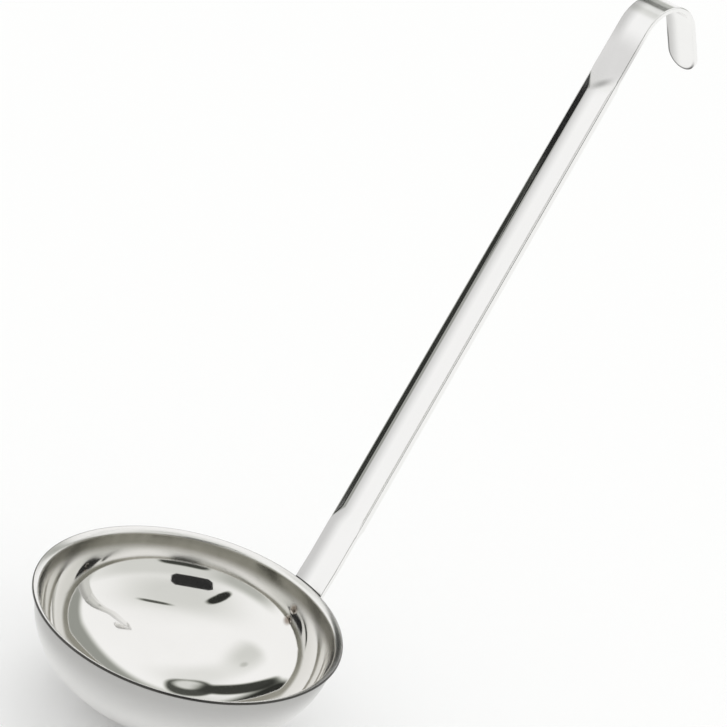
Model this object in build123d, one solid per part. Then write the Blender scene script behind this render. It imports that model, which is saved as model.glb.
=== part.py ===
from build123d import *
from math import acos, atan2, cos, degrees, hypot, radians, sin, tan
import os

# Soup ladle pressed from stainless steel, in millimetres and degrees.
# It is drawn with the bowl's axis on Z, the rim plane at height 0 and the handle on the +X side,
# and is then moved so that the origin is the centre of the hook's bend, where the ladle hangs.
# Every sheet is described in the XZ plane, which is the ladle's plane of symmetry.

# Bowl
rim_radius = 60.0
bowl_depth = 43.0
bowl_thickness = 1.0
wall_radius = 33.0
lip_overhang = 2.0
lip_bend_radius = 0.8
lip_bend_angle = 50.0
lip_flare_angle = 25.0

# Handle
handle_thickness = 2.0
foot_width = 16.2
hook_width = 14.2
foot_contact_length = 13.0
foot_leave_angle = 12.4
foot_bend_radius = 10.0
rim_clearance = 0.15
dish_fade_height = 12.0
handle_length = 251.5

# Stiffening channel, measured along the handle from the rim plane
channel_start = 22.0
channel_end = 231.0
channel_depth = 1.5
channel_wall_angle = 45.0
channel_land = 0.3

# Hook
hook_radius = 14.2
hook_turn = 128.0
tip_length = 21.7

# Spot welds
weld_count = 2
weld_radius = 2.2
weld_depth_in_bowl = 0.45
weld_depth_in_handle = 0.8
weld_inset = 1.6
weld_spacing = 5.0
dimple_radius = 1.9
dimple_depth = 0.15

# How far the forms that are trimmed away reach round the bowl, past the foot's end and out of a face
trim_sweep = 60.0
trim_end_angle = 15.0
trim_margin = 4.0


def at_angle(centre, radius, angle):
    """The point of a circle in the XZ plane, with the angle measured below the +X direction."""
    return centre + Vector(cos(radians(angle)), 0, -sin(radians(angle))) * radius


def arc(centre, radius, first_angle, last_angle):
    """An arc of that circle."""
    middle_angle = (first_angle + last_angle) / 2
    return ThreePointArc(
        at_angle(centre, radius, first_angle),
        at_angle(centre, radius, middle_angle),
        at_angle(centre, radius, last_angle),
    )


def sheet_face(there, back):
    """The section of a sheet: the edges of one face there, those of the other face back, and both ends."""
    ends = [Line(there[-1] @ 1, back[0] @ 0), Line(back[-1] @ 1, there[0] @ 0)]
    return make_face(there + back + ends)


# Lip, with the slope above level at which its flare starts and the one at which it ends
neck_radius = rim_radius - lip_overhang
lip_start_slope = 90.0 - lip_bend_angle
lip_end_slope = lip_start_slope - lip_flare_angle
lip_bend_reach = lip_bend_radius * (1 - cos(radians(lip_bend_angle)))
flare_reach_share = sin(radians(lip_start_slope)) - sin(radians(lip_end_slope))
flare_rise_share = cos(radians(lip_end_slope)) - cos(radians(lip_start_slope))
flare_radius = (lip_overhang - lip_bend_reach) / flare_reach_share
edge_height = bowl_thickness * cos(radians(lip_end_slope))
lip_height = lip_bend_radius * sin(radians(lip_bend_angle)) + flare_radius * flare_rise_share + edge_height

# Wall and base, as the arcs of the outer surface
wall_centre = Vector(neck_radius - wall_radius, 0, -lip_height)
body_depth = bowl_depth - lip_height
base_radius = (wall_centre.X**2 + body_depth**2 - wall_radius**2) / (2 * (body_depth - wall_radius))
base_centre = Vector(0, 0, base_radius - bowl_depth)
base_end_angle = degrees(atan2(base_centre.Z - wall_centre.Z, wall_centre.X))

# Lip, as the arcs of the outer surface
lip_bend_centre = wall_centre + Vector(wall_radius + lip_bend_radius, 0, 0)
flare_end = Vector(rim_radius, 0, -edge_height)
flare_centre = flare_end - Vector(-sin(radians(lip_end_slope)), 0, cos(radians(lip_end_slope))) * flare_radius


def bowl_face():
    """The section of the bowl's sheet, from its axis to the edge of its lip."""
    inner_wall_radius = wall_radius - bowl_thickness
    inner_base_radius = base_radius - bowl_thickness
    inner_bend_radius = lip_bend_radius + bowl_thickness
    inner_flare_radius = flare_radius + bowl_thickness
    bend_end = -180.0 + lip_bend_angle
    flare_last = bend_end + lip_flare_angle
    outer_edges = [
        arc(base_centre, base_radius, 90.0, base_end_angle),
        arc(wall_centre, wall_radius, base_end_angle, 0.0),
        arc(lip_bend_centre, lip_bend_radius, -180.0, bend_end),
        arc(flare_centre, flare_radius, bend_end, flare_last),
    ]
    inner_edges = [
        arc(flare_centre, inner_flare_radius, flare_last, bend_end),
        arc(lip_bend_centre, inner_bend_radius, bend_end, -180.0),
        arc(wall_centre, inner_wall_radius, 0.0, base_end_angle),
        arc(base_centre, inner_base_radius, base_end_angle, 90.0),
    ]
    return sheet_face(outer_edges, inner_edges)


# The foot lies on the wall, bends out round the lip and leaves in a straight line.
# That line touches the foot's bend and passes the edge of the lip at the rim clearance.
leave_point = at_angle(wall_centre, wall_radius, foot_leave_angle)
foot_bend_centre = at_angle(wall_centre, wall_radius + foot_bend_radius, foot_leave_angle)
lip_pass = flare_end + Vector(rim_clearance, 0, 0)
to_lip = lip_pass - foot_bend_centre
handle_lean = degrees(atan2(to_lip.Z, -to_lip.X) - acos(foot_bend_radius / hypot(to_lip.X, to_lip.Z)))
foot_end_angle = foot_leave_angle + degrees(foot_contact_length / wall_radius)

# Directions along the handle and out through it, away from the bowl
along = Vector(sin(radians(handle_lean)), 0, cos(radians(handle_lean)))
outward = Vector(cos(radians(handle_lean)), 0, -sin(radians(handle_lean)))
front_origin = lip_pass + along * (-lip_pass.Z / along.Z)
level_thickness = handle_thickness / cos(radians(handle_lean))


def front_reach(height):
    """How far the straight handle's front face is from the bowl's axis."""
    return front_origin.X + height * tan(radians(handle_lean))


def foot_face():
    """The section of the foot, from past its lower end up to the rim plane."""
    last_angle = foot_end_angle + trim_end_angle
    bend_first = -180.0 + foot_leave_angle
    bend_last = -180.0 + handle_lean
    front_top = Vector(front_reach(0), 0, 0)
    back_top = front_top + Vector(level_thickness, 0, 0)
    inner_bend_radius = foot_bend_radius - handle_thickness
    front_bend = arc(foot_bend_centre, foot_bend_radius, bend_first, bend_last)
    back_bend = arc(foot_bend_centre, inner_bend_radius, bend_last, bend_first)
    front_edges = [
        arc(wall_centre, wall_radius, last_angle, foot_leave_angle),
        front_bend,
        Line(front_bend @ 1, front_top),
    ]
    back_edges = [
        Line(back_top, back_bend @ 0),
        back_bend,
        arc(wall_centre, wall_radius + handle_thickness, foot_leave_angle, last_angle),
    ]
    return sheet_face(front_edges, back_edges)


def foot():
    """The dished foot: its section swept round the bowl's axis and cut to a rounded tongue."""
    swept = revolve(foot_face(), axis=Axis.Z, revolution_arc=trim_sweep)
    swept = Rot(0, 0, -trim_sweep / 2) * swept
    half = foot_width / 2
    low = at_angle(wall_centre, wall_radius, foot_end_angle).Z
    tongue = [
        Line((0, half, 0), (0, -half, 0)),
        Line((0, -half, 0), (0, -half, low + half)),
        ThreePointArc((0, -half, low + half), (0, 0, low), (0, half, low + half)),
        Line((0, half, low + half), (0, half, 0)),
    ]
    reach = front_reach(0) + level_thickness + trim_margin
    return swept & extrude(make_face(tongue), amount=reach, dir=(1, 0, 0))


def level_section(height, dished):
    """The handle's section in a level plane, dished round the bowl's axis or flat."""
    half = foot_width / 2
    edges = []
    for reach in (front_reach(height), front_reach(height) + level_thickness):
        side = (reach**2 - half**2) ** 0.5 if dished else reach
        left = Vector(side, -half, height)
        right = Vector(side, half, height)
        middle = Vector(reach, 0, height)
        edges.append(ThreePointArc(left, middle, right) if dished else Line(left, right))
    front, back = edges
    sides = [Line(front @ 1, back @ 1), Line(back @ 0, front @ 0)]
    return make_face([front, sides[0], back, sides[1]])


def dish_fade():
    """The stretch above the rim plane over which the dished foot turns flat."""
    return loft([level_section(0, True), level_section(dish_fade_height, False)])


def half_width(distance):
    """Half of the strip's width at a distance above the rim plane, along the handle."""
    share = (distance - channel_start) / (handle_length - channel_start)
    return (foot_width + (hook_width - foot_width) * max(0.0, share)) / 2


front_plane = Plane(origin=front_origin, x_dir=along, z_dir=outward)


def strip_blank(first_depth, last_depth):
    """The flat strip's outline between two depths behind its front face."""
    outline = Polyline(
        (0, -half_width(0)),
        (channel_start, -half_width(channel_start)),
        (handle_length, -half_width(handle_length)),
        (handle_length, half_width(handle_length)),
        (channel_start, half_width(channel_start)),
        (0, half_width(0)),
        close=True,
    )
    face = front_plane.offset(first_depth) * make_face(outline)
    return extrude(face, amount=last_depth - first_depth, dir=outward)


def belt(first_radius, last_radius, depth):
    """A channel outline: a belt round its two round ends, at a depth behind the front face."""
    first = channel_start + half_width(channel_start) - channel_land
    last = channel_end - half_width(channel_end) + channel_land
    tilt = acos((first_radius - last_radius) / (last - first))
    corners = []
    for centre, radius in ((first, first_radius), (last, last_radius)):
        corners.append(Vector(centre + radius * cos(tilt), radius * sin(tilt)))
    mirrored = [Vector(corner.X, -corner.Y) for corner in corners]
    edges = [
        ThreePointArc(mirrored[0], (first - first_radius, 0), corners[0]),
        Line(corners[0], corners[1]),
        ThreePointArc(corners[1], (last + last_radius, 0), mirrored[1]),
        Line(mirrored[1], mirrored[0]),
    ]
    return front_plane.offset(depth) * make_face(edges)


def channel_form(first_depth, growth):
    """The tapered block between the channel's wide outline and its floor, one depth behind it."""
    narrowing = channel_depth / tan(radians(channel_wall_angle))
    radii = [half_width(place) - channel_land + growth for place in (channel_start, channel_end)]
    wide = belt(radii[0], radii[1], first_depth)
    narrow = belt(radii[0] - narrowing, radii[1] - narrowing, first_depth + channel_depth)
    return loft([wide, narrow], ruled=True)


def strip():
    """The straight strip above the dished stretch, with its stiffening channel pressed in."""
    fold_growth = handle_thickness * tan(radians(channel_wall_angle) / 2)
    pressed = strip_blank(0, handle_thickness)
    bulge = channel_form(handle_thickness, fold_growth)
    pressed += bulge & strip_blank(handle_thickness, handle_thickness + channel_depth)
    pressed -= channel_form(0, 0)
    return split(pressed, bisect_by=Plane.XY.offset(dish_fade_height), keep=Keep.TOP)


# Hook
hook_start = front_origin + along * handle_length
hook_centre = hook_start + outward * (handle_thickness + hook_radius)
hook_axis = Axis(hook_centre, (0, 1, 0))


def hook():
    """The bend at the top of the handle, and its straight tip with a rounded end."""
    end_plane = Plane(origin=hook_start + outward * (handle_thickness / 2), x_dir=(0, 1, 0), z_dir=along)
    bend = revolve(end_plane * Rectangle(hook_width, handle_thickness), axis=hook_axis, revolution_arc=hook_turn)
    half = hook_width / 2
    straight = tip_length - half
    outline = [
        Line((straight, -half), (0, -half)),
        Line((0, -half), (0, half)),
        Line((0, half), (straight, half)),
        ThreePointArc((straight, half), (tip_length, 0), (straight, -half)),
    ]
    flat_plane = Plane(origin=hook_start, x_dir=along, z_dir=outward)
    tip = extrude(flat_plane * make_face(outline), amount=handle_thickness, dir=outward)
    return bend + tip.rotate(hook_axis, hook_turn)


def weld_frame(distance):
    """The plane of a weld, a distance down the wall from where the foot leaves it."""
    angle = foot_leave_angle + degrees(distance / wall_radius)
    face_point = at_angle(wall_centre, wall_radius, angle)
    return Plane(origin=face_point, x_dir=(0, 1, 0), z_dir=face_point - wall_centre)


def weld_disc(distance, radius, first_depth, last_depth):
    """A disc square to the wall at a weld, between two depths behind the wall's outer face."""
    middle = (first_depth + last_depth) / 2
    return weld_frame(distance) * Pos(0, 0, middle) * Cylinder(radius, last_depth - first_depth)


def weld_nugget(distance):
    """The fused metal of one spot weld, half in the bowl and half in the handle."""
    return weld_disc(distance, weld_radius, -weld_depth_in_bowl, weld_depth_in_handle)


def bowl_dimple(distance):
    """The shallow mark that the welding electrode leaves in the bowl's inner face."""
    floor = -bowl_thickness + dimple_depth
    return weld_disc(distance, dimple_radius, floor - trim_margin, floor)


def handle_dimple(distance):
    """The shallow mark that the other electrode leaves in the back of the foot."""
    floor = handle_thickness - dimple_depth
    return weld_disc(distance, dimple_radius, floor, floor + trim_margin)


# The bowl's seam is turned away from the handle
bowl = Rot(0, 0, 180) * revolve(bowl_face(), axis=Axis.Z)
handle = foot() + dish_fade() + strip() + hook()

welds = []
for number in range(weld_count):
    distance = weld_inset + weld_spacing * number
    nugget = weld_nugget(distance)
    bowl = bowl - nugget - bowl_dimple(distance)
    handle = handle - nugget - handle_dimple(distance)
    welds.append(nugget)

parts = {
    "bowl": bowl,
    "handle": handle,
    "upper_spot_weld": welds[0],
    "lower_spot_weld": welds[1],
}

os.makedirs("parts", exist_ok=True)
for name, part in parts.items():
    hung = Pos(-hook_centre.X, 0, -hook_centre.Z) * part
    export_step(hung, f"parts/{name}.step")
    print(name, len(part.solids()), round(part.volume, 1))

print("handle lean", round(handle_lean, 2))
print("base radius", round(base_radius, 2), "lip height", round(lip_height, 3))
print("rim centre from the origin", -hook_centre.X, -hook_centre.Z)
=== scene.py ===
from collections import namedtuple
from math import acos, asin, atan2, ceil, cos, degrees, hypot, pi, radians, sin, sqrt, tan

import bmesh
import bpy
from mathutils import Euler, Matrix, Vector


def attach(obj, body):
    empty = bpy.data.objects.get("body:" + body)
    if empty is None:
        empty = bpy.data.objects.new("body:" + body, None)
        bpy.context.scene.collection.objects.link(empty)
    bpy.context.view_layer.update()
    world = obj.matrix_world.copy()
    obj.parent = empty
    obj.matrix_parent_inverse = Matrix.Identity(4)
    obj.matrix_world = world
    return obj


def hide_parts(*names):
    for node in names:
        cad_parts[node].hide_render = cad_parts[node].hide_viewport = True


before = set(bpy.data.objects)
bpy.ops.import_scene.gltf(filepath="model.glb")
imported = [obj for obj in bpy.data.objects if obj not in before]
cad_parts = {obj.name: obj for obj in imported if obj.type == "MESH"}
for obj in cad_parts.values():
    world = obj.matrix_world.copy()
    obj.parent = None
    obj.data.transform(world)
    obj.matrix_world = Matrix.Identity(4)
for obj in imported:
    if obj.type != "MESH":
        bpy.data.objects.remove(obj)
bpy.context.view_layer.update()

# Sizes are in metres and degrees. The ladle is worked out with the rim's centre as the origin,
# the bowl's axis on Z and the handle on the +X side, and is then moved to where the hook's bend
# has its centre in the origin.
quarter_turn = 90.0
half_turn = 180.0

# Bowl
rim_radius = 0.0600
bowl_depth = 0.0430
bowl_thickness = 0.0010
wall_radius = 0.0330
lip_overhang = 0.0020
lip_bend_radius = 0.0008
lip_bend_angle = 50.0
lip_flare_angle = 25.0
lip_edge_rounding = 0.0003

# Handle
handle_thickness = 0.0020
foot_width = 0.0162
hook_width = 0.0142
foot_contact_length = 0.0130
foot_leave_angle = 12.4
foot_bend_radius = 0.0100
rim_clearance = 0.00015
dish_fade_height = 0.0120
handle_length = 0.2515
strip_rounding = 0.0004

# Stiffening channel, measured along the handle from the rim plane
channel_start = 0.0220
channel_end = 0.2310
channel_depth = 0.0019
channel_land = 0.0003
channel_wall_angle = 45.0
channel_fade = 0.0080
channel_brow = 0.00025
channel_fillet = 0.0007

# Hook
hook_radius = 0.0142
hook_turn = 128.0
tip_length = 0.0217

# Spot welds
weld_count = 2
weld_inset = 0.0016
weld_spacing = 0.0050
dimple_radius = 0.0019
dimple_depth = 0.00015

# How closely the meshes follow their curves
bowl_spacing = 0.0010
lip_spacing = 0.00012
bowl_turn_steps = 280
weld_turn_span = 3.5
weld_turn_steps = 48
weld_spacing_fine = 0.0002
strip_spacing = 0.0005
run_spacing = 0.0015
ramp_spacing = 0.00025
edge_steps = 4
end_steps = 24
across_edge_steps = 32
across_middle_steps = 16
across_edge_share = 0.42
merge_distance = 0.000001


def at_angle(centre, radius, angle):
    """The point of a circle in the XZ plane, with the angle measured below the +X direction."""
    return centre + Vector((cos(radians(angle)), 0, -sin(radians(angle)))) * radius


def arc_points(centre, radius, first_angle, last_angle, spacing):
    """Points along that circle, no further apart than the spacing."""
    steps = ceil(radians(abs(last_angle - first_angle)) * radius / spacing)
    turn = last_angle - first_angle
    return [at_angle(centre, radius, first_angle + turn * step / steps) for step in range(steps + 1)]


# Lip, with the slope above level at which its flare starts and the one at which it ends
neck_radius = rim_radius - lip_overhang
lip_start_slope = quarter_turn - lip_bend_angle
lip_end_slope = lip_start_slope - lip_flare_angle
lip_bend_reach = lip_bend_radius * (1 - cos(radians(lip_bend_angle)))
lip_bend_height = lip_bend_radius * sin(radians(lip_bend_angle))
flare_reach_share = sin(radians(lip_start_slope)) - sin(radians(lip_end_slope))
flare_rise_share = cos(radians(lip_end_slope)) - cos(radians(lip_start_slope))
flare_radius = (lip_overhang - lip_bend_reach) / flare_reach_share
edge_height = bowl_thickness * cos(radians(lip_end_slope))
lip_height = lip_bend_height + flare_radius * flare_rise_share + edge_height

# Wall and base, as the arcs of the outer surface
wall_centre = Vector((neck_radius - wall_radius, 0, -lip_height))
body_depth = bowl_depth - lip_height
base_radius = (wall_centre.x**2 + body_depth**2 - wall_radius**2) / (2 * (body_depth - wall_radius))
base_centre = Vector((0, 0, base_radius - bowl_depth))
base_end_angle = degrees(atan2(base_centre.z - wall_centre.z, wall_centre.x))

# Lip, as the arcs of the outer surface
lip_bend_centre = wall_centre + Vector((wall_radius + lip_bend_radius, 0, 0))
flare_end = Vector((rim_radius, 0, -edge_height))
flare_normal = Vector((-sin(radians(lip_end_slope)), 0, cos(radians(lip_end_slope))))
flare_centre = flare_end - flare_normal * flare_radius

# The foot lies on the wall, bends out round the lip and leaves in a straight line
foot_bend_centre = at_angle(wall_centre, wall_radius + foot_bend_radius, foot_leave_angle)
lip_pass = flare_end + Vector((rim_clearance, 0, 0))
to_lip = lip_pass - foot_bend_centre
handle_lean = degrees(atan2(to_lip.z, -to_lip.x) - acos(foot_bend_radius / hypot(to_lip.x, to_lip.z)))
along = Vector((sin(radians(handle_lean)), 0, cos(radians(handle_lean))))
outward = Vector((cos(radians(handle_lean)), 0, -sin(radians(handle_lean))))
front_origin = lip_pass + along * (-lip_pass.z / along.z)

# Distances along the handle's front face from the rim plane, below it negative
bend_end = (foot_bend_centre - front_origin).dot(along)
leave_distance = bend_end - foot_bend_radius * radians(handle_lean - foot_leave_angle)
hook_end = handle_length + (hook_radius + handle_thickness) * radians(hook_turn)
tip_end = hook_end + tip_length

# Where the foot ends on the wall, and where the hook's bend has its centre
foot_end_angle = foot_leave_angle + degrees(foot_contact_length / wall_radius)
hook_centre = front_origin + along * handle_length + outward * (handle_thickness + hook_radius)
to_frame = Matrix.Translation(-hook_centre)


def weld_angle(place):
    """The angle below level at which the wall is a distance down from where the handle leaves it."""
    return foot_leave_angle + degrees(place / wall_radius)


def weld_points():
    """The welds' middles: points of the wall's outer face in the plane of the handle."""
    places = [weld_inset + weld_spacing * number for number in range(weld_count)]
    return [at_angle(wall_centre, wall_radius, weld_angle(place)) for place in places]


def dimple_sink(point):
    """How deep a face is pressed in by the welding electrode at a point near the welds."""
    sink = 0
    for centre in weld_points():
        direction = (centre - wall_centre).normalized()
        offset = point - centre
        across = (offset - direction * offset.dot(direction)).length
        sink += dimple_depth * max(0, 1 - (across / dimple_radius) ** 2)
    return sink


def new_object(name, data):
    """An object of the scene that holds the data."""
    made = bpy.data.objects.new(name, data)
    bpy.context.scene.collection.objects.link(made)
    return made


def add_piece(name, vertices, faces, body):
    """Make a smooth mesh object out of points around the rim's centre, and let it ride on a body."""
    mesh = bpy.data.meshes.new(name)
    mesh.from_pydata([to_frame @ vertex for vertex in vertices], [], faces)
    joined = bmesh.new()
    joined.from_mesh(mesh)
    bmesh.ops.remove_doubles(joined, verts=joined.verts, dist=merge_distance)
    bmesh.ops.recalc_face_normals(joined, faces=joined.faces)
    joined.to_mesh(mesh)
    joined.free()
    mesh.polygons.foreach_set("use_smooth", [True] * len(mesh.polygons))
    piece = new_object(name, mesh)
    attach(piece, body)
    return piece


# Bowl sheet
def lip_edge_points(start, slope):
    """The rounded edge of the lip, from the end of the outer face round to the inner one."""
    out = Vector((cos(radians(slope)), 0, sin(radians(slope))))
    up = Vector((-sin(radians(slope)), 0, cos(radians(slope))))
    corners = ((lip_edge_rounding, -quarter_turn), (bowl_thickness - lip_edge_rounding, 0))
    points = []
    for height, first in corners:
        for step in range(edge_steps + 1):
            turn = radians(first + quarter_turn * step / edge_steps)
            points.append(start + up * height + (out * cos(turn) + up * sin(turn)) * lip_edge_rounding)
    return points


def bowl_profile():
    """The bowl's section as one line: from the axis out under the sheet, round the lip and back in."""
    bend_last = lip_bend_angle - half_turn
    rounding_angle = degrees(lip_edge_rounding / flare_radius)
    flare_last = bend_last + lip_flare_angle - rounding_angle
    inner_flare_radius = flare_radius + bowl_thickness
    inner_bend_radius = lip_bend_radius + bowl_thickness
    inner_wall_radius = wall_radius - bowl_thickness
    inner_base_radius = base_radius - bowl_thickness
    fine_end = weld_angle(weld_inset + weld_spacing * weld_count)
    flare_start = at_angle(flare_centre, flare_radius, flare_last)
    runs = [
        arc_points(base_centre, base_radius, quarter_turn, base_end_angle, bowl_spacing),
        arc_points(wall_centre, wall_radius, base_end_angle, 0, bowl_spacing),
        arc_points(lip_bend_centre, lip_bend_radius, -half_turn, bend_last, lip_spacing),
        arc_points(flare_centre, flare_radius, bend_last, flare_last, lip_spacing),
        lip_edge_points(flare_start, lip_end_slope + rounding_angle),
        arc_points(flare_centre, inner_flare_radius, flare_last, bend_last, lip_spacing),
        arc_points(lip_bend_centre, inner_bend_radius, bend_last, -half_turn, lip_spacing),
        arc_points(wall_centre, inner_wall_radius, 0, fine_end, weld_spacing_fine),
        arc_points(wall_centre, inner_wall_radius, fine_end, base_end_angle, bowl_spacing),
        arc_points(base_centre, inner_base_radius, base_end_angle, quarter_turn, bowl_spacing),
    ]
    return [point for run in runs for point in run]


def bowl_turns():
    """The angles round the bowl's axis, closer together at the welds."""
    span = radians(weld_turn_span)
    fine = [-span + 2 * span * step / weld_turn_steps for step in range(weld_turn_steps)]
    rest = 2 * pi - 2 * span
    coarse = [span + rest * step / bowl_turn_steps for step in range(bowl_turn_steps)]
    return fine + coarse


def make_bowl():
    """The bowl: its section turned round the axis, with the marks of the welding electrodes."""
    profile = bowl_profile()
    turns = bowl_turns()
    inner_from = len(profile) // 2
    vertices = []
    for turn in turns:
        for number, point in enumerate(profile):
            place = Vector((point.x * cos(turn), point.x * sin(turn), point.z))
            if number > inner_from and abs(turn) < radians(weld_turn_span):
                direction = Vector((cos(turn), sin(turn), 0))
                place += direction * dimple_sink(place)
            vertices.append(place)
    faces = []
    rows = len(profile)
    for column in range(len(turns)):
        here = column * rows
        there = (column + 1) % len(turns) * rows
        for row in range(rows - 1):
            faces.append((here + row, there + row, there + row + 1, here + row + 1))
    return add_piece("bowl_sheet", vertices, faces, "root")


# Handle strip
def front_path(distance):
    """The handle's front face in its plane of symmetry: the point and the direction out through it."""
    if distance < leave_distance:
        angle = foot_leave_angle + degrees((leave_distance - distance) / wall_radius)
        point = at_angle(wall_centre, wall_radius, angle)
        return point, (point - wall_centre).normalized()
    if distance < bend_end:
        angle = foot_leave_angle + degrees((distance - leave_distance) / foot_bend_radius)
        point = at_angle(foot_bend_centre, foot_bend_radius, angle - half_turn)
        return point, (foot_bend_centre - point).normalized()
    if distance < handle_length:
        return front_origin + along * distance, outward
    turn = min(radians(hook_turn), (distance - handle_length) / (hook_radius + handle_thickness))
    inward = outward * cos(turn) - along * sin(turn)
    point = hook_centre - inward * (hook_radius + handle_thickness)
    onward = along * cos(turn) + outward * sin(turn)
    return point + onward * max(0, distance - hook_end), inward


def half_width(distance):
    """Half of the straight strip's width at a distance above the rim plane."""
    share = min(1.0, max(0.0, (distance - channel_start) / (handle_length - channel_start)))
    return (foot_width + (hook_width - foot_width) * share) / 2


def eased(share):
    """A share between 0 and 1 that starts and ends gently."""
    share = min(1.0, max(0.0, share))
    return share * share * (3 - 2 * share)


def channel_share(distance):
    """How much of its full depth the channel has at a distance along the handle."""
    rise = (distance - channel_start - channel_fade / 2) / channel_fade
    fall = (channel_end - distance) / channel_fade
    return eased(rise) * eased(fall)


def soft_above(value, blend):
    """The value above zero and nothing below it, with a rounded corner."""
    if value <= -blend:
        return 0
    if value >= blend:
        return value
    return (value + blend) ** 2 / (4 * blend)


def pressed_depth(distance, side, growth, brow, fillet):
    """The channel's depth at a point, with sloping walls that are rounded above and below."""
    share = channel_share(distance)
    if share == 0:
        return 0
    steepness = tan(radians(channel_wall_angle))
    inset = half_width(distance) - channel_land + growth - abs(side)
    past_wall = inset - channel_depth * share / steepness
    return (soft_above(inset, brow * share) - soft_above(past_wall, fillet * share)) * steepness


def strip_point(distance, side, depth):
    """The place of a point of the strip, given along it, across it and behind its front face."""
    point, direction = front_path(distance)
    place = point + direction * depth
    dish = 0 if distance > dish_fade_height / along.z else 1 - eased(place.z / dish_fade_height)
    bent_back = place.x - sqrt(place.x**2 - side**2)
    return Vector((place.x - dish * bent_back, side, place.z))


def spaced(first, last, spacing):
    """Distances from the first to just before the last, no further apart than the spacing."""
    steps = ceil((last - first) / spacing)
    return [first + (last - first) * step / steps for step in range(steps)]


def distance_at(height):
    """The distance along the handle at which its foot is at a height."""
    angle = degrees(asin((wall_centre.z - height) / wall_radius))
    return leave_distance - radians(angle - foot_leave_angle) * wall_radius


def strip_outline():
    """The strip's outline laid flat, from one round end to the other, as distances and half widths."""
    foot_half = foot_width / 2
    tip_half = hook_width / 2
    ramp = channel_fade * 2
    low = at_angle(wall_centre, wall_radius, foot_end_angle).z
    outline = []
    for step in range(end_steps):
        turn = radians(quarter_turn * step / end_steps)
        outline.append((distance_at(low + foot_half * (1 - cos(turn))), foot_half * sin(turn)))
    runs = [
        (distance_at(low + foot_half), channel_start - channel_brow, strip_spacing),
        (channel_start - channel_brow, channel_start + ramp, ramp_spacing),
        (channel_start + ramp, channel_end - ramp, run_spacing),
        (channel_end - ramp, channel_end + channel_brow, ramp_spacing),
        (channel_end + channel_brow, tip_end - tip_half, strip_spacing),
    ]
    for first, last, spacing in runs:
        outline += [(distance, half_width(distance)) for distance in spaced(first, last, spacing)]
    for step in range(end_steps + 1):
        turn = radians(quarter_turn * step / end_steps)
        outline.append((tip_end - tip_half + tip_half * sin(turn), tip_half * cos(turn)))
    return outline


def inward_normals(outline):
    """The directions square to the outline, towards the strip's middle line."""
    mirrored_first = (outline[1][0], -outline[1][1])
    mirrored_last = (outline[-2][0], -outline[-2][1])
    padded = [mirrored_first] + outline + [mirrored_last]
    normals = []
    for before, after in zip(padded, padded[2:]):
        run = after[0] - before[0]
        rise = after[1] - before[1]
        length = hypot(run, rise)
        normals.append((rise / length, -run / length))
    return normals


def across_shares():
    """Where the points of a row lie between its two ends, closer together near the ends."""
    edge = [across_edge_share * step / across_edge_steps for step in range(across_edge_steps)]
    middle_run = 1 - 2 * across_edge_share
    middle_steps = [step / across_middle_steps for step in range(across_middle_steps + 1)]
    middle = [across_edge_share + middle_run * share for share in middle_steps]
    return edge + middle + [1 - share for share in reversed(edge)]


def front_depth(distance, side):
    """How far the front face lies behind the flat strip's front."""
    return pressed_depth(distance, side, 0, channel_brow, channel_fillet)


def back_depth(distance, side):
    """How far the back face lies behind the flat strip's front."""
    growth = handle_thickness * tan(radians(channel_wall_angle) / 2)
    bulge = pressed_depth(distance, side, growth, channel_fillet, channel_brow)
    sink = dimple_sink(strip_point(distance, side, 0)) if distance < 0 else 0
    return handle_thickness + bulge - sink


def edge_ring(distance, half, normal, side_sign):
    """One side of the strip at a station: round the front corner, down the edge, round the back one."""
    side = half * side_sign
    inner_distance = distance + normal[0] * strip_rounding
    inner_side = side + normal[1] * side_sign * strip_rounding
    front = front_depth(inner_distance, inner_side)
    back = back_depth(inner_distance, inner_side)
    points = []
    for depth, first in ((front + strip_rounding, -quarter_turn), (back - strip_rounding, 0)):
        for step in range(edge_steps + 1):
            turn = radians(first + quarter_turn * step / edge_steps)
            inset = strip_rounding * (1 - cos(turn))
            place = distance + normal[0] * inset
            across = side + normal[1] * side_sign * inset
            points.append(strip_point(place, across, depth + strip_rounding * sin(turn)))
    return points


def strip_ring(distance, half, normal, shares):
    """The closed ring of points round the strip at one station."""
    place = distance + normal[0] * strip_rounding
    reach = max(0, half + normal[1] * strip_rounding)
    sides = [reach * (1 - 2 * share) for share in shares[1:-1]]
    front = [strip_point(place, side, front_depth(place, side)) for side in sides]
    back = [strip_point(place, side, back_depth(place, side)) for side in sides]
    left = edge_ring(distance, half, normal, 1)
    right = edge_ring(distance, half, normal, -1)
    return front + right + back[::-1] + left[::-1]


def make_handle():
    """The handle: one pressed strip from its dished foot to the tip of its hook."""
    outline = strip_outline()
    normals = inward_normals(outline)
    shares = across_shares()
    vertices = []
    for (distance, half), normal in zip(outline, normals):
        vertices += strip_ring(distance, half, normal, shares)
    size = len(vertices) // len(outline)
    faces = []
    for station in range(len(outline) - 1):
        here = station * size
        there = here + size
        for number in range(size):
            following = (number + 1) % size
            faces.append((here + number, here + following, there + following, there + number))
    return add_piece("handle_strip", vertices, faces, "root")


bowl = make_bowl()
handle = make_handle()
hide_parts("bowl")
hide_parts("handle")

# Numbers of the mix node's sockets, since those for values and those for colours share their names
mix_share = 0
mix_values = (2, 3)
mix_value_result = 0
mix_colors = (6, 7)
mix_color_result = 2


# Shader nodes
def add_node(tree, kind, settings, inputs):
    """Add a node with its settings, and give each input its value or the output that feeds it."""
    node = tree.nodes.new(kind)
    for name, value in settings.items():
        setattr(node, name, value)
    for name, value in inputs.items():
        if isinstance(value, bpy.types.NodeSocket):
            tree.links.new(value, node.inputs[name])
        else:
            node.inputs[name].default_value = value
    return node


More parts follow.
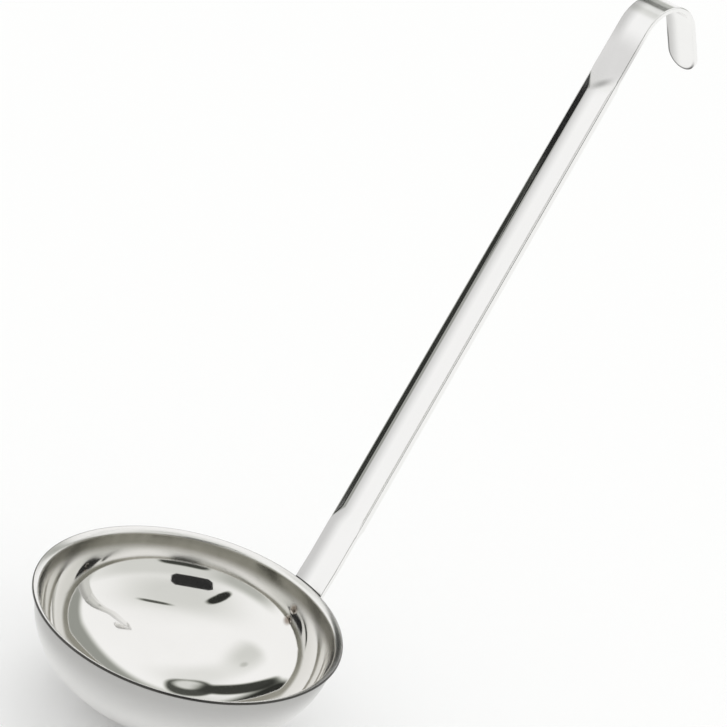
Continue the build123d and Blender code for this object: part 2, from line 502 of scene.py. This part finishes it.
def calculate(tree, operation, first, second=0.0):
    """The output of an operation on two values, or on the first alone."""
    return add_node(tree, "ShaderNodeMath", {"operation": operation}, {0: first, 1: second}).outputs[0]


def blend(tree, share, first, second):
    """The output of a mix of two colours."""
    inputs = {mix_share: share, mix_colors[0]: first, mix_colors[1]: second}
    return add_node(tree, "ShaderNodeMix", {"data_type": "RGBA"}, inputs).outputs[mix_color_result]


def blend_values(tree, share, first, second):
    """The output of a mix of two values."""
    inputs = {mix_share: share, mix_values[0]: first, mix_values[1]: second}
    return add_node(tree, "ShaderNodeMix", {}, inputs).outputs[mix_value_result]


def spread(tree, value, low, high):
    """The output that carries a value between 0 and 1 over to between two others."""
    node = add_node(tree, "ShaderNodeMapRange", {}, {"Value": value, "To Min": low, "To Max": high})
    return node.outputs["Result"]


def fade_between(tree, value, first, last):
    """The output that goes gently from 0 where a value is at the first to 1 where it is at the last."""
    settings = {"interpolation_type": "SMOOTHSTEP"}
    inputs = {"Value": value, "From Min": first, "From Max": last}
    return add_node(tree, "ShaderNodeMapRange", settings, inputs).outputs["Result"]


def noise(tree, vector, scale, detail):
    """The output of a noise pattern, with its scale in patches to the metre."""
    inputs = {"Vector": vector, "Scale": scale, "Detail": detail}
    return add_node(tree, "ShaderNodeTexNoise", {}, inputs).outputs[0]


def bump(tree, height, distance, below=None):
    """The output of a relief, laid over the one below it."""
    inputs = {"Height": height, "Distance": distance}
    if below:
        inputs["Normal"] = below
    return add_node(tree, "ShaderNodeBump", {}, inputs).outputs["Normal"]


def parts_of(tree, vector):
    """The outputs of a vector's parts X, Y and Z."""
    return add_node(tree, "ShaderNodeSeparateXYZ", {}, {"Vector": vector}).outputs


def joined_parts(tree, parts):
    """The output of a vector that has these parts, and 0 for the others."""
    return add_node(tree, "ShaderNodeCombineXYZ", {}, parts).outputs["Vector"]


def length_of(tree, vector):
    """The output of a vector's length."""
    return add_node(tree, "ShaderNodeVectorMath", {"operation": "LENGTH"}, {0: vector}).outputs["Value"]


def place_from(tree, point, rotation=(0, 0, 0), scale=(1, 1, 1)):
    """The output of an object's own coordinates, counted from a point of it in a turned frame."""
    coordinates = tree.nodes.new("ShaderNodeTexCoord").outputs["Object"]
    inputs = {"Vector": coordinates, "Location": point, "Rotation": rotation, "Scale": scale}
    return add_node(tree, "ShaderNodeMapping", {"vector_type": "TEXTURE"}, inputs).outputs["Vector"]


# Materials
def new_material(name):
    """A material and its node tree."""
    material = bpy.data.materials.new(name)
    material.use_nodes = True
    return material, material.node_tree


def steel_surface(material, color, roughness, relief):
    """Give a material's shader the steel's colour, roughness and relief."""
    tree = material.node_tree
    shader = tree.nodes["Principled BSDF"]
    shader.inputs["Metallic"].default_value = 1.0
    tree.links.new(color, shader.inputs["Base Color"])
    tree.links.new(roughness, shader.inputs["Roughness"])
    tree.links.new(relief, shader.inputs["Normal"])


def matte(name, color):
    """A material of one colour without any gloss."""
    material, tree = new_material(name)
    shader = tree.nodes["Principled BSDF"]
    shader.inputs["Base Color"].default_value = color
    shader.inputs["Roughness"].default_value = 1.0
    shader.inputs["Specular IOR Level"].default_value = 0.0
    return material


# Slow waves in both pressed sheets
waviness_scale = 38.0
waviness_detail = 1.0
waviness_height = 0.000012

# Steel of the bowl, cloudy and with fine rings round the axis
bright_steel = (0.900, 0.892, 0.873, 1.0)
cloudy_steel = (0.846, 0.835, 0.813, 1.0)
cloud_scale = 45.0
cloud_detail = 3.0
ring_scale = 1400.0
ring_detail = 2.0
ring_height = 0.0000006
bowl_least_roughness = 0.02
bowl_most_roughness = 0.11

# Painted shade under the lip, mottled by noise, which fades out between these heights from the rim plane
under_lip_painted_shade = (0.425, 0.414, 0.368, 1.0)
under_lip_painted_dark_shade = (0.300, 0.290, 0.251, 1.0)
under_lip_from = -0.0055
under_lip_to = -0.0102
shade_mottle_scale = 240.0
shade_mottle_detail = 4.0
shade_mottle_stretch = (1, 1, 3)

# Satin steel all over the outside and high on the inner wall, where it fades out between these heights
satin_from = -0.0070
satin_to = -0.0140
satin_roughness = 0.18
# Painted shade on the outside near the rim, going over to painted light towards the bottom
outside_painted_shade = (0.460, 0.457, 0.448, 1.0)
outside_bottom_painted_light = (0.960, 0.955, 0.945, 1.0)

# Painted shade along the lip's rounded edge, outside this radius
lip_edge_painted_shade = (0.080, 0.078, 0.074, 1.0)
lip_edge_shade_radius = 0.05955

# Brown stain round each spot weld
stain_color = (0.200, 0.140, 0.095, 1.0)
stain_radius = 0.0032
stain_core_share = 0.35
stain_strength = 0.8


def rings_round(tree, point):
    """The output of coordinates that stay the same all round the bowl's axis through a point."""
    parts = parts_of(tree, place_from(tree, point))
    squares = [calculate(tree, "MULTIPLY", parts[name], parts[name]) for name in ("X", "Y")]
    radius = calculate(tree, "SQRT", calculate(tree, "ADD", squares[0], squares[1]))
    return joined_parts(tree, {"X": radius, "Z": parts["Z"]})


def outside_of_bowl(tree):
    """The output that is 1 on the bowl's outer faces and 0 on its inner ones."""
    centre = to_frame @ Vector((0, 0, wall_radius - bowl_depth))
    normal = tree.nodes.new("ShaderNodeNewGeometry").outputs["Normal"]
    inputs = {0: place_from(tree, centre), 1: normal}
    facing = add_node(tree, "ShaderNodeVectorMath", {"operation": "DOT_PRODUCT"}, inputs)
    return calculate(tree, "GREATER_THAN", facing.outputs["Value"])


def weld_stains(tree):
    """The output that is 1 at the spot welds and fades to 0 round them."""
    total = 0.0
    for point in weld_points():
        gap = length_of(tree, place_from(tree, to_frame @ point))
        stain = fade_between(tree, gap, stain_radius, stain_radius * stain_core_share)
        total = calculate(tree, "ADD", total, stain)
    return calculate(tree, "MULTIPLY", total, stain_strength)


def inner_steel(tree, clouds, height):
    """The colour of the bowl's inner face, with mottled painted shade under the lip."""
    rim_centre = to_frame @ Vector()
    on_lip = fade_between(tree, height, -lip_height, -lip_height / 2)
    below_lip = fade_between(tree, height, under_lip_to, under_lip_from)
    under_lip_shade_share = calculate(tree, "SUBTRACT", below_lip, on_lip)
    shade_mottle_place = place_from(tree, rim_centre, scale=shade_mottle_stretch)
    shade_mottle = noise(tree, shade_mottle_place, shade_mottle_scale, shade_mottle_detail)
    painted_shade_steel = blend(tree, shade_mottle, under_lip_painted_shade, under_lip_painted_dark_shade)
    return blend(tree, under_lip_shade_share, blend(tree, clouds, bright_steel, cloudy_steel), painted_shade_steel)


def outer_steel(tree, height):
    """The colour of the bowl's outer face: painted shade near the rim, going over to painted light
    towards the bottom.
    """
    downwards = fade_between(tree, height, -lip_height, -bowl_depth / 2)
    return blend(tree, downwards, outside_painted_shade, outside_bottom_painted_light)


def bowl_polish():
    """Polished steel, satin outside and under the lip, with painted shade under the lip, near the rim
    outside and along the lip's edge, painted light low outside, and a stain round each weld.
    """
    material, tree = new_material("bowl_polish")
    plain = place_from(tree, (0, 0, 0))
    round_axis = rings_round(tree, to_frame @ Vector())
    parts = parts_of(tree, round_axis)
    height = parts["Z"]
    clouds = noise(tree, plain, cloud_scale, cloud_detail)
    rings = noise(tree, round_axis, ring_scale, ring_detail)
    waves = noise(tree, plain, waviness_scale, waviness_detail)
    outside = outside_of_bowl(tree)
    on_edge = calculate(tree, "GREATER_THAN", parts["X"], lip_edge_shade_radius)
    faces = blend(tree, outside, inner_steel(tree, clouds, height), outer_steel(tree, height))
    sheet = blend(tree, on_edge, faces, lip_edge_painted_shade)
    color = blend(tree, weld_stains(tree), sheet, stain_color)
    satin = calculate(tree, "MAXIMUM", outside, fade_between(tree, height, satin_to, satin_from))
    softness = calculate(tree, "MULTIPLY", satin, satin_roughness)
    uneven = calculate(tree, "MULTIPLY", clouds, rings)
    polish = spread(tree, uneven, bowl_least_roughness, bowl_most_roughness)
    relief = bump(tree, rings, ring_height, bump(tree, waves, waviness_height))
    steel_surface(material, color, calculate(tree, "ADD", polish, softness), relief)
    return material


# Steel of the handle, cloudy and with fine lines along it, with painted shade towards its +Y side
handle_steel = (0.915, 0.911, 0.901, 1.0)
handle_cloud_steel = (0.875, 0.870, 0.860, 1.0)
handle_cloud_scale = 90.0
handle_cloud_detail = 3.0
handle_cloud_stretch = (1, 1, 3)
line_scale = 2600.0
line_detail = 2.0
line_stretch = (1, 1, 60)
line_height = 0.0000010
handle_least_roughness = 0.04
handle_most_roughness = 0.20
handle_shade_steel = (0.590, 0.586, 0.578, 1.0)
handle_shade_reach = 0.0062

# Painted shade on the steel from the channel's upper end to the hook, and the roughness added from there
# on
plain_end_painted_shade = (0.750, 0.744, 0.733, 1.0)
plain_end_cloud_painted_shade = (0.635, 0.629, 0.623, 1.0)
plain_end_fade = 0.0100
plain_end_length = 0.0210
plain_end_roughness = 0.10

# Painted shade in a slanted line along the ramp at the channel's upper end
ramp_painted_shade = (0.420, 0.418, 0.411, 1.0)
ramp_shade_width = 0.0024
ramp_shade_reach = 0.0070
ramp_shade_slant = 0.6

# Painted shade along the rounded edge of the hook's inner face, round its tip
tip_edge_painted_shade = (0.120, 0.118, 0.115, 1.0)
tip_edge_width = 0.0013
tip_edge_slant = 1.0


def tip_edge(tree):
    """The output that is 1 along the edge of the hook's inner face, near its tip, where the shade is
    painted.
    """
    half = hook_width / 2
    middle = to_frame @ front_path(tip_end - half)[0]
    parts = parts_of(tree, place_from(tree, middle, (0, radians(handle_lean + hook_turn), 0)))
    depth, side, reach = (parts[name] for name in ("X", "Y", "Z"))
    beyond = calculate(tree, "MAXIMUM", reach, 0.0)
    from_middle = length_of(tree, joined_parts(tree, {"X": side, "Y": beyond}))
    edge = fade_between(tree, from_middle, half - tip_edge_width, half - strip_rounding)
    corner = handle_thickness - strip_rounding
    above = fade_between(tree, depth, corner, corner + strip_rounding / 2)
    below = fade_between(tree, depth, handle_thickness * 2, handle_thickness)
    slanted = calculate(tree, "ADD", reach, calculate(tree, "MULTIPLY", side, tip_edge_slant))
    near_tip = fade_between(tree, slanted, -half, 0.0)
    on_face = calculate(tree, "MULTIPLY", above, below)
    return calculate(tree, "MULTIPLY", calculate(tree, "MULTIPLY", edge, on_face), near_tip)


def ramp_shade(tree, side, slanted):
    """The output that is 1 on the line of painted shade at the channel's upper ramp and fades to 0 on
    both sides and outwards.
    """
    place = channel_end - channel_fade / 2
    rise = fade_between(tree, slanted, place - ramp_shade_width, place)
    fall = fade_between(tree, slanted, place + ramp_shade_width, place)
    middle = fade_between(tree, calculate(tree, "ABSOLUTE", side), ramp_shade_reach, 0.0)
    return calculate(tree, "MULTIPLY", calculate(tree, "MULTIPLY", rise, fall), middle)


def handle_polish():
    """Steel polished along the handle, duller above the channel, with painted shade there, at the
    channel's upper ramp, along the tip's edge and towards the +Y side.
    """
    material, tree = new_material("handle_polish")
    turn = (0, radians(handle_lean), 0)
    start = to_frame @ front_origin
    cloud_place = place_from(tree, start, turn, handle_cloud_stretch)
    clouds = noise(tree, cloud_place, handle_cloud_scale, handle_cloud_detail)
    lines = noise(tree, place_from(tree, start, turn, line_stretch), line_scale, line_detail)
    waves = noise(tree, place_from(tree, (0, 0, 0)), waviness_scale, waviness_detail)
    parts = parts_of(tree, place_from(tree, start, turn))
    side, distance = parts["Y"], parts["Z"]
    slanted = calculate(tree, "ADD", distance, calculate(tree, "MULTIPLY", side, ramp_shade_slant))
    plain_from = fade_between(tree, slanted, channel_end - plain_end_fade, channel_end)
    plain_last = channel_end + plain_end_length
    plain_to = fade_between(tree, distance, plain_last, plain_last - plain_end_length / 2)
    plain_end = calculate(tree, "MULTIPLY", plain_from, plain_to)
    shade = fade_between(tree, side, 0.0, handle_shade_reach)
    pressed_color = blend(tree, clouds, handle_steel, handle_cloud_steel)
    shaded_color = blend(tree, shade, pressed_color, handle_shade_steel)
    plain_end_shaded_color = blend(tree, clouds, plain_end_painted_shade, plain_end_cloud_painted_shade)
    strip_color = blend(tree, plain_end, shaded_color, plain_end_shaded_color)
    ramp_shaded_color = blend(tree, ramp_shade(tree, side, slanted), strip_color, ramp_painted_shade)
    color = blend(tree, tip_edge(tree), ramp_shaded_color, tip_edge_painted_shade)
    uneven = calculate(tree, "MULTIPLY", clouds, lines)
    polish = spread(tree, uneven, handle_least_roughness, handle_most_roughness)
    softness = calculate(tree, "MULTIPLY", plain_from, plain_end_roughness)
    relief = bump(tree, lines, line_height, bump(tree, waves, waviness_height))
    steel_surface(material, color, calculate(tree, "ADD", polish, softness), relief)
    return material


# Fused steel inside a spot weld
weld_steel = (0.66, 0.64, 0.61, 1.0)
weld_dark_steel = (0.52, 0.49, 0.45, 1.0)
weld_least_roughness = 0.25
weld_most_roughness = 0.5
grain_scale = 2500.0
grain_detail = 4.0
grain_height = 0.00002


def weld_metal():
    """The fused steel inside a spot weld: grainy and dull."""
    material, tree = new_material("weld_metal")
    grains = noise(tree, place_from(tree, (0, 0, 0)), grain_scale, grain_detail)
    color = blend(tree, grains, weld_steel, weld_dark_steel)
    roughness = spread(tree, grains, weld_least_roughness, weld_most_roughness)
    steel_surface(material, color, roughness, bump(tree, grains, grain_height))
    return material


def dress(piece, material):
    """Give every slot of a piece the material."""
    if not piece.data.materials:
        piece.data.materials.append(material)
    for slot in piece.material_slots:
        slot.material = material


dress(bowl, bowl_polish())
dress(handle, handle_polish())
weld_material = weld_metal()
for name in ("upper_spot_weld", "lower_spot_weld"):
    dress(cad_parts[name], weld_material)

# Studio floor
floor_size = 12.0
floor_color = (0.95, 0.95, 0.95, 1.0)


def make_floor():
    """A plain pale floor under the bowl."""
    half = floor_size / 2
    corners = [(-half, -half), (half, -half), (half, half), (-half, half)]
    mesh = bpy.data.meshes.new("floor")
    places = [to_frame @ Vector((x, y, -bowl_depth)) for x, y in corners]
    mesh.from_pydata(places, [], [tuple(range(len(corners)))])
    floor = new_object("floor", mesh)
    floor.data.materials.append(matte("floor_white", floor_color))


make_floor()

# Studio light: an even white room, and one wide soft lamp high up behind the ladle
room_light = 0.93
lamp_azimuth = 50.0
lamp_elevation = 60.0
lamp_width = 40.0
lamp_strength = 0.42


def direction_to(azimuth, elevation):
    """The unit vector towards a place in the studio."""
    level = cos(radians(elevation))
    height = sin(radians(elevation))
    return Vector((cos(radians(azimuth)) * level, sin(radians(azimuth)) * level, height))


def make_lamp():
    """The soft lamp, as wide as it looks from the ladle, and left out of the reflections."""
    data = bpy.data.lights.new("softbox", "SUN")
    data.angle = radians(lamp_width)
    data.energy = lamp_strength
    lamp = new_object("softbox", data)
    lamp.rotation_mode = "QUATERNION"
    lamp.rotation_quaternion = direction_to(lamp_azimuth, lamp_elevation).to_track_quat("Z", "Y")
    lamp.visible_glossy = False


make_lamp()

# The photographer, as a dark board behind the camera that only the steel reflects
photographer_color = (0.03, 0.03, 0.03, 1.0)
photographer_azimuth = -130.0
photographer_elevation = 31.5
photographer_distance = 0.85
photographer_turn = 6.0
photographer_half_width = 0.245
photographer_half_height = 0.125
photographer_corner = 0.05


def make_photographer():
    """The dark board, with cut corners and square to the line from the bowl."""
    wide = photographer_half_width
    high = photographer_half_height
    cut = photographer_corner
    corners = []
    for right, up in ((1, 1), (-1, 1), (-1, -1), (1, -1)):
        pair = [(right * wide, up * (high - cut)), (right * (wide - cut), up * high)]
        corners += pair if right == up else pair[::-1]
    mesh = bpy.data.meshes.new("photographer")
    mesh.from_pydata([Vector((x, y, 0)) for x, y in corners], [], [tuple(range(len(corners)))])
    board = new_object("photographer", mesh)
    towards = direction_to(photographer_azimuth, photographer_elevation)
    board.location = to_frame @ (towards * photographer_distance)
    board.rotation_mode = "QUATERNION"
    roll = Euler((0, 0, radians(photographer_turn))).to_quaternion()
    board.rotation_quaternion = towards.to_track_quat("Z", "Y") @ roll
    for rays in ("camera", "diffuse", "shadow"):
        setattr(board, "visible_" + rays, False)
    board.data.materials.append(matte("dark_clothes", photographer_color))


make_photographer()

# What else the polished steel reflects: a bright room with soft-edged screens.
# A screen is given by the direction of its middle, its turn, its half width and half height, all in
# degrees, by how soft its edge is, how square its corners are and how bright it is.
Screen = namedtuple("Screen", "azimuth elevation turn half_width half_height softness squareness level")
reflected_room = 1.0
shadow_tint = (0.96, 1.0, 0.88, 1.0)
light_tint = (1.0, 1.0, 1.0, 1.0)
screens = [
    # Grey ceiling and walls on the camera's side
    Screen(-118, 52, 0, 38, 24, 0.6, 2.5, 0.73),
    Screen(-108, 14, 0, 60, 12, 0.4, 4, 0.72),
    Screen(-172, 7, 0, 24, 11, 0.5, 4, 0.51),
    # The grey far wall of the room
    Screen(2, 28, 21, 45, 7.5, 0.4, 6, 0.34),
    # Soft grey spots in the bright ceiling
    Screen(108, 55, 0, 10, 8, 0.7, 2, 0.72),
    Screen(98, 53, 0, 1.6, 1.6, 0.6, 2, 0.45),
    Screen(66, 57, 0, 16, 7, 0.7, 2, 0.84),
    # The dark end of the room behind the camera
    Screen(-121, 2.5, 0, 20, 9, 0.12, 4, 0.05),
    # A dark stand, and a thin boom over it
    Screen(-158.5, 40, -18, 3.8, 14, 0.2, 2.5, 0.03),
    Screen(-82, 63, -38, 10, 1.8, 0.4, 3, 0.10),
    # A round lamp with a dark rim, and dark curtains beside it
    Screen(56, 47.7, 0, 8.5, 6.8, 0.14, 2.5, 0.08),
    Screen(56, 50.3, 0, 5.2, 3.4, 0.35, 2, 0.74),
    Screen(78, 40, -40, 15, 4.2, 0.25, 3, 0.05),
    Screen(70, 15, 0, 20, 19, 0.15, 4, 0.03),
]


def screen_mask(tree, direction, screen):
    """The output that is 1 where a direction meets the screen and 0 beyond its soft edge."""
    inputs = {
        "Vector": direction,
        "Rotation": (radians(screen.turn), radians(-screen.elevation), radians(screen.azimuth)),
        "Scale": (1, sin(radians(screen.half_width)), sin(radians(screen.half_height))),
    }
    turned = add_node(tree, "ShaderNodeMapping", {"vector_type": "TEXTURE"}, inputs).outputs["Vector"]
    parts = parts_of(tree, turned)
    powers = []
    for name in ("Y", "Z"):
        size = calculate(tree, "ABSOLUTE", parts[name])
        powers.append(calculate(tree, "POWER", size, screen.squareness))
    total = calculate(tree, "ADD", powers[0], powers[1])
    reach = calculate(tree, "POWER", total, 1 / screen.squareness)
    fade = fade_between(tree, reach, 1 + screen.softness, 1 - screen.softness)
    return calculate(tree, "MULTIPLY", fade, calculate(tree, "GREATER_THAN", parts["X"]))


def make_room():
    """The world: white to the camera, even light on the object, and the screens in its reflections."""
    world = bpy.data.worlds.new("studio")
    world.use_nodes = True
    tree = world.node_tree
    direction = tree.nodes.new("ShaderNodeTexCoord").outputs["Generated"]
    level = reflected_room
    for screen in screens:
        level = blend_values(tree, screen_mask(tree, direction, screen), level, screen.level)
    rays = tree.nodes.new("ShaderNodeLightPath").outputs
    mirrored = calculate(tree, "MAXIMUM", rays["Is Glossy Ray"], rays["Is Transmission Ray"])
    seen = blend_values(tree, mirrored, room_light, level)
    strength = blend_values(tree, rays["Is Camera Ray"], seen, 1.0)
    background = tree.nodes["Background"]
    tree.links.new(blend(tree, strength, shadow_tint, light_tint), background.inputs["Color"])
    tree.links.new(strength, background.inputs["Strength"])
    bpy.context.scene.world = world


make_room()

# Camera, placed by fitting it to the rim, the handle's edges and the hook in the photograph
camera_place = Vector((-0.62019, -0.46840, 0.15260))
camera_target = Vector((-0.10558, 0, -0.13225))
camera_roll = 16.897
camera_lens = 99.04


def make_camera():
    """The camera at the photograph's viewing angle."""
    data = bpy.data.cameras.new("camera")
    data.lens = camera_lens
    camera = new_object("camera", data)
    aim = (camera_target - camera_place).to_track_quat("-Z", "Y")
    camera.rotation_mode = "QUATERNION"
    camera.rotation_quaternion = aim @ Euler((0, 0, radians(camera_roll))).to_quaternion()
    camera.location = camera_place
    bpy.context.scene.camera = camera


make_camera()
bpy.context.scene.view_settings.view_transform = "Standard"
